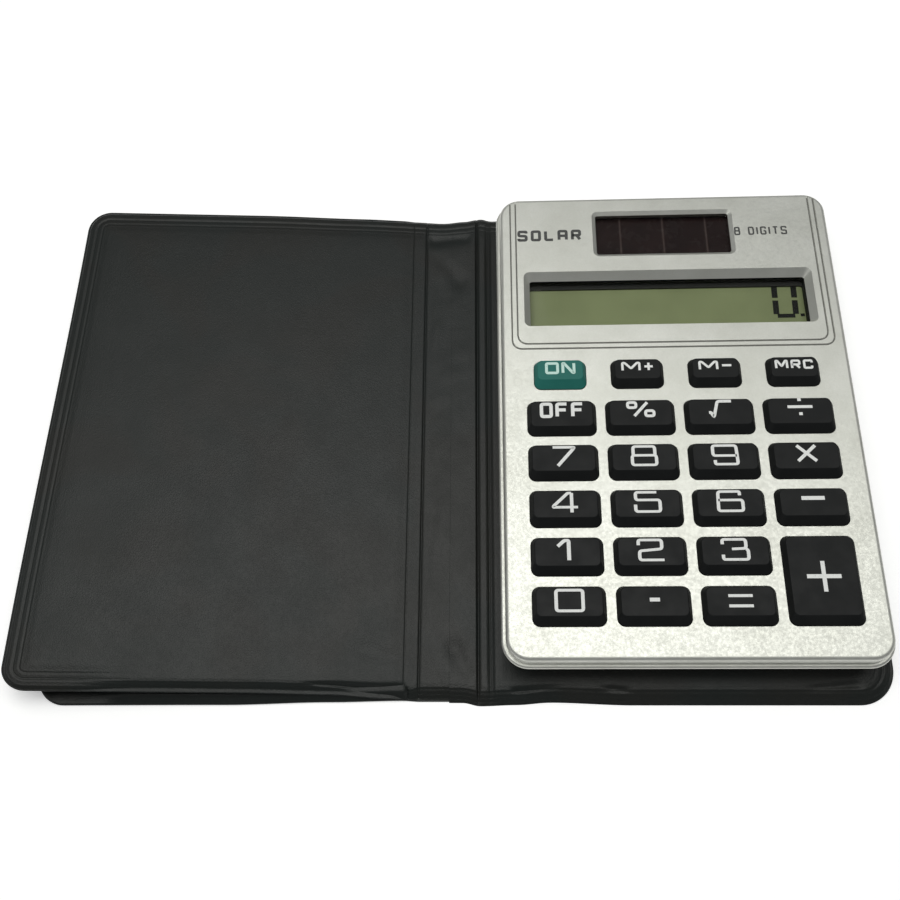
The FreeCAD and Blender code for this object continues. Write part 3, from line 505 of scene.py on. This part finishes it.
def lettering(name, text, centre, width, height, stroke, body, material,
              gap=0.45, flat=None, corner=0.35, slant=0.0):
    """Text in that box, all in millimetres. stroke is its upright strokes' width, and flat that of
    the strokes that run across."""
    flat = flat or stroke
    shares = [SHARES.get(letter, 1) for letter in text]
    unit = (width - gap * (len(text) - 1)) / sum(shares)
    x = centre[0] - width / 2
    strokes = []
    for letter, share in zip(text, shares):
        wide = unit * share
        for path in GLYPHS.get(letter, []):
            closed = path[0] == path[-1] and len(path) > 3
            points = []
            for px, py in path[:-1] if closed else path:
                y = (py - 0.5) * (height - flat)
                points.append(Vector((x + stroke / 2 + px * (wide - stroke) + slant * y,
                                      centre[1] + y)) * MM)
            edges = pen_stroke(rounded_path(points, closed, corner * MM), closed,
                               stroke * MM, flat * MM)
            strokes.append((edges, closed))
        x += wide + gap
    print_and_painted_shade_strip(name, strokes, centre[2] * MM, body, material)


# Legends: text, width, height, stroke, and how far the middle is behind the key's own middle.
LEGENDS = {
    "key_0": ("0", 5.0, 3.95, 0.66, 0.72),
    "key_1": ("1", 2.5, 4.0, 0.74, 0.78),
    "key_2": ("2", 4.75, 3.95, 0.64, 0.75),
    "key_3": ("3", 4.75, 3.95, 0.64, 0.75),
    "key_4": ("4", 4.75, 4.0, 0.66, 0.72),
    "key_5": ("5", 4.75, 3.95, 0.64, 0.75),
    "key_6": ("6", 4.75, 3.95, 0.64, 0.75),
    "key_7": ("7", 4.4, 4.0, 0.70, 0.75),
    "key_8": ("8", 4.75, 3.95, 0.64, 0.75),
    "key_9": ("9", 4.75, 3.95, 0.64, 0.75),
    "key_point": (".", 2.3, 0.72, 0.72, 0.85),
    "key_equals": ("=", 4.45, 2.2, 0.55, 0.55),
    "key_plus": ("+", 6.3, 5.9, 0.78, 0.33),
    "key_minus": ("-", 4.6, 0.78, 0.78, 1.2),
    "key_multiply": ("x", 3.75, 3.5, 0.66, 0.9),
    "key_divide": ("/", 4.9, 3.3, 0.62, 1.25),
    "key_root": ("r", 4.6, 3.7, 0.62, 0.95),
    "key_percent": ("%", 5.1, 3.2, 0.60, 1.15),
    "key_off": ("OFF", 7.9, 3.05, 0.70, 1.15),
    "key_on": ("ON", 5.5, 2.45, 0.58, 0.85),
    "key_memory_plus": ("M+", 5.9, 1.95, 0.50, 0.95),
    "key_memory_minus": ("M-", 6.1, 1.95, 0.50, 0.95),
    "key_memory_recall": ("MRC", 6.8, 1.9, 0.48, 0.95),
}
PEN = 0.88  # share of the listed stroke that is printed
DIGIT_FLAT = 0.78  # a digit's strokes are thinner where they run across
ONE_ASIDE = -0.7  # the one stands left of its key's middle
for key, (text, width, height, stroke, behind) in LEGENDS.items():
    low, high = (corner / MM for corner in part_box(key))
    middle = (low + high) / 2
    green = key == "key_on"
    aside = ONE_ASIDE if text == "1" else 0
    thin = stroke * (DIGIT_FLAT if len(text) == 1 and text.isdigit() else 1)
    place = (middle.x + aside, middle.y + behind, high.z)
    lettering("legend_" + key[4:], text, place, width, height, PEN * stroke, key,
              MINT_INK if green else WHITE_INK,
              flat=PEN * thin, corner=0.12 * height)


# ---------------------------------------------------------------- display and printed panel

film_top = (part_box("display_polariser")[1] / MM).z
lens_low, lens_high = (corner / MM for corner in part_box("display_lens"))
lcd_y = (lens_low.y + lens_high.y) / 2 + 0.3
lettering("display_zero", "o", (22.55, lcd_y + 1.1, film_top), 4.75, 8.2, 1.1, "calculator",
          CRYSTAL_INK, flat=0.85, corner=0.05, slant=0.03)
lettering("display_point", ".", (25.5, lcd_y - 2.45, film_top), 0.85, 0.62, 0.06, "calculator",
          CRYSTAL_INK, flat=0.62, corner=0.05)

case_back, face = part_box("top_case")[1].yz / MM
# Painted shade along the floor of the two fine grooves that frame the panel: a thin dark strip in
# each. Each runs down one side, across in front of the display and up the other side.
INNER_SIDE, OUTER_SIDE = 28.5, 29.55
INNER_FRONT = 13.1
GROOVE_WIDTH = 0.27
GROOVE_DEPTH = 0.2
GROOVE_CORNER = 2
GROOVE_END = case_back - 1
for name, side in (("painted_shade_groove_inner", INNER_SIDE), ("painted_shade_groove_outer", OUTER_SIDE)):
    front = INNER_FRONT + INNER_SIDE - side
    corners = [Vector(spot) * MM for spot in ((-side, GROOVE_END), (-side, front),
                                              (side, front), (side, GROOVE_END))]
    path = rounded_path(corners, False, GROOVE_CORNER * MM)
    edges = pen_stroke(path, False, GROOVE_WIDTH * MM, GROOVE_WIDTH * MM)
    print_and_painted_shade_strip(name, [(edges, False)], (face - GROOVE_DEPTH) * MM, "calculator",
            GROOVE_PAINTED_SHADE)

lettering("print_left", "SOLAR", (-22.0, 37.1, face), 12.4, 2.55, 0.58, "calculator",
          GREY_INK, gap=0.6, corner=0.3)
lettering("print_right", "8 DIGITS", (18.7, 37.3, face), 10.1, 1.9, 0.32, "calculator",
          GREY_INK, gap=0.42, corner=0.2)


# ---------------------------------------------------------------- wallet

back_low, back_high = (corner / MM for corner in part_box("back_cover_outer_vinyl"))
case_low, case_high = (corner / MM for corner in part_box("bottom_case"))
folds = {joint["name"]: joint for joint in frame["joints"]}
BACK_FOLD = folds["spine_fold"]["pos_m"][0] / MM
FRONT_FOLD = folds["cover_fold"]["pos_m"][0] / MM
FOLD_LEVEL = folds["cover_fold"]["pos_m"][2] / MM
LIFT = math.radians(4)  # the flap's rest angle above the table
MID_SPINE = (BACK_FOLD + FRONT_FOLD) / 2
FRONT, BACK = back_low.y, back_high.y
RIGHT = back_high.x + 0.2
FLAP_WIDTH = 70.4
LEFT = FRONT_FOLD - FLAP_WIDTH
BLEND_REACH = 1.4
# The flap's outer sheet ends short of the lining at the left and at the back, and before the fold.
POCKET_INSET = 5.4
POCKET_BACK = BACK - 0.4
POCKET_END = FRONT_FOLD - 0.6
COVER_CORNER = 6.3
FLAP_CORNER = 4.5
FLAT_LEVEL = 1.48  # height of the upper surface where it lies flat
SHEET = 0.22  # least thickness of a wallet sheet
UNDER_FLAP = 0.42  # height of the lining's lower face, over most of the flap
FLAP_LEAN = 1.6  # how far the flap's left edge leans in at the back
LIP_RISE = 0.95  # how far the pocket's front lip curls up
ROLL_START, ROLL_REACH = -106, 12  # where the rolled front edge begins, and over what length
CLEAR = 1.4  # distance from the case at which the surface starts to get smooth


def eased(t):
    t = min(1, max(0, t))
    return t * t * (3 - 2 * t)


def along(points, x):
    """A smooth curve through (position, value) points."""
    if x <= points[0][0]:
        return points[0][1]
    for (x0, v0), (x1, v1) in zip(points, points[1:]):
        if x <= x1:
            return v0 + (v1 - v0) * eased((x - x0) / (x1 - x0))
    return points[-1][1]


def soft(x, y, size, seed):
    """Smooth noise from about -1 to 1."""
    return noise.noise(Vector((x / size, y / size, seed)))


def valley(x, y, start, end, depth, width):
    """A crease along a line, with its depth and width at the start and the end."""
    run = Vector(end) - Vector(start)
    away = Vector((x, y)) - Vector(start)
    t = away.dot(run) / run.length_squared
    inside = min(1, max(0, t))
    gap = (away - run * inside).length
    deep = depth[0] + (depth[1] - depth[0]) * inside
    wide = width[0] + (width[1] - width[0]) * inside
    return -deep * math.exp(-(gap / wide) ** 2)


# Height of the surface across the wallet, by position from the flap to the back cover. Grooves
# run along the welds beside each fold.
ACROSS = [
    (FRONT_FOLD - 3.6, FLAT_LEVEL), (FRONT_FOLD - 1.6, 1.40), (FRONT_FOLD - 1.42, 1.34),
    (FRONT_FOLD - 1.28, 1.22), (FRONT_FOLD - 1.12, 1.30), (FRONT_FOLD - 0.7, 1.33),
    (FRONT_FOLD + 0.95, 1.30), (FRONT_FOLD + 1.14, 1.20), (FRONT_FOLD + 1.3, 0.86),
    (FRONT_FOLD + 1.46, 1.18), (FRONT_FOLD + 1.8, 1.26), (FRONT_FOLD + 3.5, 1.30),
    (BACK_FOLD - 3.6, 1.30), (BACK_FOLD - 1.9, 1.26), (BACK_FOLD - 1.72, 1.06),
    (BACK_FOLD - 1.52, 0.56), (BACK_FOLD - 1.3, 1.02), (BACK_FOLD - 0.9, 1.16),
    (BACK_FOLD - 0.1, 1.20), (BACK_FOLD + 0.3, 1.10), (BACK_FOLD + 0.5, 0.92),
    (BACK_FOLD + 0.75, 1.06), (BACK_FOLD + 1.6, 1.36), (BACK_FOLD + 2.6, FLAT_LEVEL),
]
# Height by distance from the outer edge: a welded margin with two grooves, and a rolled front edge.
MARGIN = [(0, 0.40), (0.12, 0.62), (0.9, 1.06), (1.7, 1.18), (1.95, 1.14), (2.1, 1.04),
          (2.25, 1.16), (2.9, 1.25), (3.2, 1.21), (3.5, 1.31), (5, 1.43), (7, FLAT_LEVEL)]
ROLLED = [(0, 0.10), (0.4, 0.36), (0.9, 0.76), (1.35, 1.10), (1.6, 1.20), (1.8, 1.38),
          (2.5, 1.46), (3.6, FLAT_LEVEL)]
# How far the edges wander along the wallet: its front, the front lip of the flap's lining, its back.
FRONT_EDGE = [(-118, -0.4), (-80, -0.3), (-62, 0.15), (-49, 0.4), (-46, 0.1), (-39, 0.05),
              (-36, -0.5), (-30, -0.3), (-24, 0.1), (-10, -0.35), (RIGHT, -0.35)]
LIP_EDGE = [(-118, 1.25), (-76, 1.3), (-62, 1.15), (-52, 0.6), (-46, 0.25), (-41, 0.25)]
BACK_EDGE = [(-118, 0.9), (-80, 0.95), (-60, 0.6), (-49, 0.3), (-43, -0.15), (-39, 0.2),
             (-35.6, 0.75), (-33, 0.15), (RIGHT, 0.0)]
# Creases: start, end, depth at both, and width at both. The first four are in the spine.
CREASES = [
    ((-43.2, -36.5), (-40.6, -41.5), (0.08, 0.26), (1.2, 1.5)),
    ((-40.6, -41.5), (-38.2, -45.8), (0.26, 0.14), (1.5, 1.0)),
    ((-45.2, 43.2), (-38.6, 43.4), (0.42, 0.30), (1.2, 1.0)),
    ((-44.6, 39.5), (-39.8, 33.0), (0.10, 0.28), (1.2, 1.6)),
    ((-66.0, FRONT + 1.9), (-49.7, FRONT + 1.35), (0.1, 1.1), (0.2, 0.85)),
    ((-70.0, -36.0), (-60.0, -27.0), (0.05, 0.16), (3.5, 4.0)),
    ((-56.0, -42.0), (-51.0, -43.5), (0.25, 0.15), (1.8, 1.4)),
    ((20.0, FRONT + 2.6), (27.5, FRONT + 3.2), (0.12, 0.25), (0.5, 0.6)),
    ((-14.0, FRONT + 2.5), (-11.5, FRONT + 2.3), (0.30, 0.25), (0.4, 0.4)),
    ((-30.0, FRONT + 2.2), (-22.0, FRONT + 2.4), (0.35, 0.05), (0.45, 0.4)),
]


def surface(x, y, inside, frontness):
    """The wallet's upper surface above the table at a point of the unfolded sheet. inside is the
    distance from the edge, and frontness 1 where that edge is the front one."""
    # The front edge is rolled, except near the flap's outer corner.
    steep = frontness * (eased((x - ROLL_START) / ROLL_REACH) if x < FRONT_FOLD else 1)
    roll = 1 + 0.3 * eased((x - FRONT_FOLD) / 1.5)
    edge = along(MARGIN, inside) * (1 - steep) + along(ROLLED, inside / roll) * steep
    level = edge * along(ACROSS, x) / FLAT_LEVEL
    # Soft unevenness, strongest in the spine, and none under the case.
    free = eased((inside - 0.8) / 4)
    spine = eased((x - FRONT_FOLD - 1.6) / 2.4) * eased((BACK_FOLD - 1.9 - x) / 2.4)
    flap = eased((FRONT_FOLD - 2 - x) / 5)
    level += free * spine * (0.17 * soft(x * 1.8, y * 0.55, 5, 3.7) + 0.06 * soft(x, y, 2.6, 8.1))
    level += free * flap * (0.055 * soft(x, y, 15, 1.3) + 0.02 * soft(x, y, 6, 5.2))
    beside = 1 - (eased((x - BACK_FOLD) / 1.5) * eased(case_high.x + CLEAR - x)
                  * eased(y - case_low.y + CLEAR))
    level += 0.05 * beside * eased((x - BACK_FOLD) / 2) * soft(x * 1.5, y * 1.5, 3, 6.4)
    level += sum(valley(x, y, *crease) for crease in CREASES) * eased(inside / 1.2)
    return max(level, 0.1)


def lines(low, high, coarse, fine, zones):
    """Grid lines from low to high, close together inside the zones (middle, half width)."""
    found = [low]
    while found[-1] < high:
        near = min(max(0, abs(found[-1] - middle) - half) for middle, half in zones)
        found.append(found[-1] + min(coarse, fine + 0.22 * near))
    scale = (high - low) / (found[-1] - low)
    return [low + (value - low) * scale for value in found]


def outline(x, y, left, right_side, front, back_side, radius, corners):
    """Moves a point of a plain rectangle to its place in one with rounded corners at the sides
    named in corners. Returns it with its distance from the edge and how much that faces front."""
    best = None
    for side, edge in (("left", left), ("right", right_side)):
        if side not in corners:
            continue
        for end, rim in (("front", front), ("back", back_side)):
            sx = 1 if side == "right" else -1
            sy = 1 if end == "back" else -1
            a = radius - abs(edge - x)
            b = radius - abs(rim - y)
            if a > 0 and b > 0:
                far = max(a, b)
                share = far / math.hypot(a, b)
                x = edge - sx * radius + sx * a * share
                y = rim - sy * radius + sy * b * share
                facing = b * share / far if end == "front" else 0
                best = (radius - far, facing ** 2)
    if best is None:
        gaps = [(y - front, 1), (back_side - y, 0)]
        if "left" in corners:
            gaps.append((x - left, 0))
        if "right" in corners:
            gaps.append((right_side - x, 0))
        best = min(gaps)
    return x, y, best[0], best[1]


def tilted(x, z):
    """The flap's rest lift: points turn about the front fold, smoothly across it."""
    share = eased((FRONT_FOLD + BLEND_REACH - x) / (2 * BLEND_REACH))
    angle = LIFT * share
    dx, dz = x - FRONT_FOLD, z - FOLD_LEVEL
    return (FRONT_FOLD + dx * math.cos(angle) + dz * math.sin(angle),
            FOLD_LEVEL + dz * math.cos(angle) - dx * math.sin(angle))


def sheet_form(name, xs, ys, shape):
    """A closed thin form over a grid. shape gives a point's place, its lower and upper height."""
    wide, tall = len(xs), len(ys)
    verts, spots = [[], []], []
    for y in ys:
        for x in xs:
            px, py, low, high = shape(x, y)
            spots.append((px, py))
            for side, level in enumerate((low, high)):
                tx, tz = tilted(px, level)
                verts[side].append((tx * MM, py * MM, tz * MM))
    count = wide * tall
    faces = []
    for j in range(tall - 1):
        for i in range(wide - 1):
            a = j * wide + i
            faces.append((a + count, a + 1 + count, a + 1 + wide + count, a + wide + count))
            faces.append((a, a + wide, a + wide + 1, a + 1))
    rim = (list(range(wide)) + [j * wide + wide - 1 for j in range(1, tall)]
           + [(tall - 1) * wide + i for i in range(wide - 2, -1, -1)]
           + [j * wide for j in range(tall - 2, 0, -1)])
    for a, b in zip(rim, rim[1:] + rim[:1]):
        faces.append((a, b, b + count, a + count))
    mesh = bpy.data.meshes.new(name)
    mesh.from_pydata(verts[0] + verts[1], [], faces)
    layer = mesh.uv_layers.new(name="flat")
    for loop in mesh.loops:
        layer.data[loop.index].uv = spots[loop.vertex_index % count]
    # All smooth, except the walls where the two halves of the wallet meet.
    for polygon in mesh.polygons:
        cut = all(abs(spots[v % count][0] - MID_SPINE) < 0.001 for v in polygon.vertices)
        polygon.use_smooth = not cut
    mesh.update()
    piece = bpy.data.objects.new(name, mesh)
    scene.collection.objects.link(piece)
    mesh.materials.append(FINISHES["wallet_vinyl"])
    return piece


COARSE, FINE = 0.9, 0.13  # widest and narrowest cells of the wallet's grid
EDGE_REACH = 3.6  # width of the band of narrow cells at an edge
FOLD_REACH = 2.2
FRONT_FOLD_ZONE = (FRONT_FOLD, FOLD_REACH)
BACK_FOLD_ZONE = (BACK_FOLD - 0.4, FOLD_REACH)
LONG_LINES = lines(FRONT, BACK, COARSE, 0.15, [(FRONT, EDGE_REACH), (BACK, EDGE_REACH)])
WANDER_FADE = 12


def wandered_front(x, y, front_edge):
    """y with the front edge moved to its wandering line, fading inwards."""
    return y + along(front_edge, x) * eased(1 - (y - FRONT) / WANDER_FADE)


def wandered(x, y, front_edge):
    """y with the front and back edges moved to their wandering lines, fading inwards."""
    back_share = eased(1 - (BACK - y) / WANDER_FADE)
    return wandered_front(x, y, front_edge) + along(BACK_EDGE, x) * back_share


def back_cover_shape(x, y):
    """The back cover, flat on the table, with its half of the spine."""
    px, py, inside, frontness = outline(x, y, LEFT, RIGHT, FRONT, BACK, COVER_CORNER, ("right",))
    top = surface(px, py, inside, frontness)
    return px, wandered(px, py, FRONT_EDGE), 0.0, top


def flap_shape(x, y):
    """The flap's lining with its half of the spine, a little narrower at the back."""
    px, py, inside, frontness = outline(x, y, LEFT, RIGHT, FRONT, BACK, FLAP_CORNER, ("left",))
    top = surface(px, py, inside, frontness)
    under = UNDER_FLAP * eased((FRONT_FOLD + 0.2 - px) / 4)
    lean = FLAP_LEAN * eased((py - FRONT) / 100) * eased((FRONT_FOLD - 20 - px) / 50)
    return px + lean, wandered(px, py, LIP_EDGE), under, max(top, under + SHEET)


def pocket_shape(x, y):
    """The flap's outer sheet: under the lining, but sagging to the table along the front, where
    the pocket between them gapes."""
    left = LEFT + POCKET_INSET
    px, py, inside, _ = outline(x, y, left, RIGHT, FRONT, POCKET_BACK, FLAP_CORNER, ("left",))
    down = (0.8 + 0.2 * eased((px - left) / 4)) * eased((FRONT + 34 - py) / 30)
    height = math.tan(LIFT) * (FRONT_FOLD - px)
    sag = down * max(0, height - 0.1)
    lip = eased((px + 104) / 9) * eased((FRONT + 9 - py) / 6)
    rise = lip * (LIP_RISE * eased(inside / 1.7)) * eased((FRONT + 8 - py) / 5)
    low = 0.02 - sag + rise * 0.85
    return px, wandered_front(px, py, FRONT_EDGE), low, low + SHEET + 0.13 * eased(inside / 0.3)


# The two halves meet in a very narrow last cell, so their smooth shading runs through.
NARROW = 0.03
xs_back = [MID_SPINE] + lines(MID_SPINE + NARROW, RIGHT, COARSE, FINE,
                              [(RIGHT, EDGE_REACH), BACK_FOLD_ZONE])
xs_flap = lines(LEFT, MID_SPINE - NARROW, COARSE, FINE,
                [(LEFT, EDGE_REACH), FRONT_FOLD_ZONE]) + [MID_SPINE]
xs_pocket = lines(LEFT + POCKET_INSET, POCKET_END, 1.0, 0.25, [(LEFT + POCKET_INSET, 4)])

back_cover = sheet_form("wallet_back_cover", xs_back, LONG_LINES, back_cover_shape)
flap = sheet_form("wallet_front_cover", xs_flap, LONG_LINES, flap_shape)
pocket = sheet_form("wallet_front_pocket", xs_pocket, LONG_LINES, pocket_shape)

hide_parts("back_cover_outer_vinyl", "back_cover_card", "back_cover_inner_vinyl")
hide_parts("front_cover_inner_vinyl", "front_cover_card", "spine_inner_vinyl",
            "spine_outer_vinyl")
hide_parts("front_cover_outer_vinyl")

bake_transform(back_cover)
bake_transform(flap)
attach(pocket, "front_cover")


# ---------------------------------------------------------------- table

bpy.ops.mesh.primitive_plane_add(size=6, location=(0, 0, 0))
table = bpy.context.object
table.name = "table"
table.data.materials.append(table_top())
